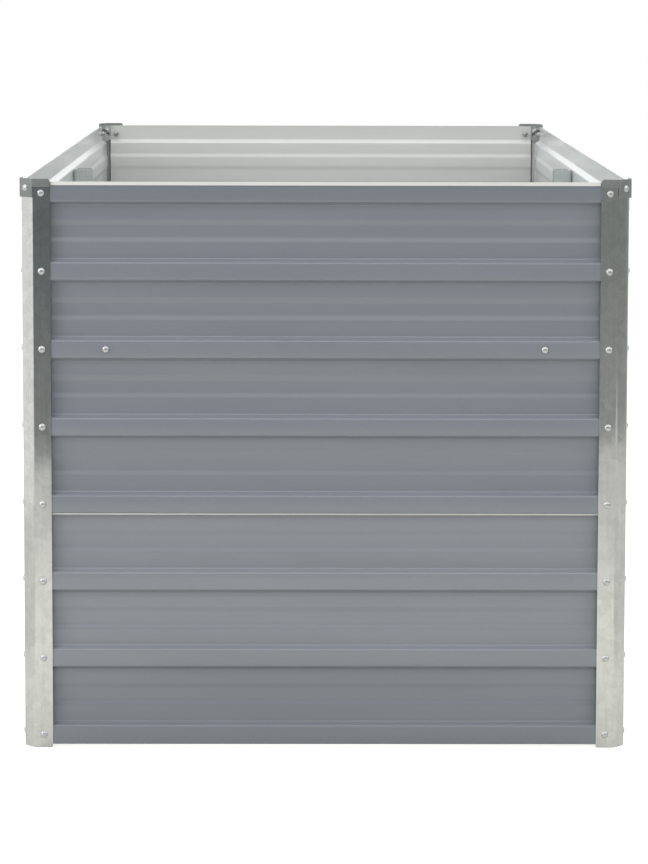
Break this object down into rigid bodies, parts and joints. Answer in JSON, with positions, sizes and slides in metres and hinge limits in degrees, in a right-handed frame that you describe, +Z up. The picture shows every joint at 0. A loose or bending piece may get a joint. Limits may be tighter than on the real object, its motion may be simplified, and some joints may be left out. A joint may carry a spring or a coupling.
{
  "type": "raised garden bed",
  "caption": "Tall rectangular raised garden bed of corrugated steel panels on folded galvanised corner posts, open at top and bottom, bolted together.",
  "frame": {"origin": "middle of the footprint, on the ground", "axes": "+Z up, +Y along the length towards the rear end wall, +X to the right seen from the front end wall"},
  "size_m": [0.8152, 1.6152, 0.7685],
  "materials": {
    "panel_paint": "satin bluish-grey paint outside, light warm-grey coat inside",
    "galvanised_steel": "hot-dip galvanised, fine spangle and faint vertical streaks",
    "bright_zinc": "bright zinc-plated fasteners"
  },
  "bodies": {
    "root": {"cap_bolts": "bright_zinc", "cap_nuts": "bright_zinc", "cross_tie": "galvanised_steel", "front_left_brace": "galvanised_steel", "front_left_brace_bolts": "bright_zinc", "front_left_brace_nuts": "bright_zinc", "front_left_cap": "galvanised_steel", "front_left_post": "galvanised_steel", "front_left_post_bolts": "bright_zinc", "front_left_post_nuts": "bright_zinc", "front_panel_lower": "panel_paint", "front_panel_upper": "panel_paint", "front_right_brace": "galvanised_steel", "front_right_brace_bolts": "bright_zinc", "front_right_brace_nuts": "bright_zinc", "front_right_cap": "galvanised_steel", "front_right_post": "galvanised_steel", "front_right_post_bolts": "bright_zinc", "front_right_post_nuts": "bright_zinc", "left_panel_lower": "panel_paint", "left_panel_upper": "panel_paint", "left_stiffener": "galvanised_steel", "left_stiffener_bolts": "bright_zinc", "left_stiffener_nuts": "bright_zinc", "rear_left_brace": "galvanised_steel", "rear_left_brace_bolts": "bright_zinc", "rear_left_brace_nuts": "bright_zinc", "rear_left_cap": "galvanised_steel", "rear_left_post": "galvanised_steel", "rear_left_post_bolts": "bright_zinc", "rear_left_post_nuts": "bright_zinc", "rear_panel_lower": "panel_paint", "rear_panel_upper": "panel_paint", "rear_right_brace": "galvanised_steel", "rear_right_brace_bolts": "bright_zinc", "rear_right_brace_nuts": "bright_zinc", "rear_right_cap": "galvanised_steel", "rear_right_post": "galvanised_steel", "rear_right_post_bolts": "bright_zinc", "rear_right_post_nuts": "bright_zinc", "right_panel_lower": "panel_paint", "right_panel_upper": "panel_paint", "right_stiffener": "galvanised_steel", "right_stiffener_bolts": "bright_zinc", "right_stiffener_nuts": "bright_zinc", "tie_bolts": "bright_zinc", "tie_nuts": "bright_zinc"}
  },
  "joints": []
}
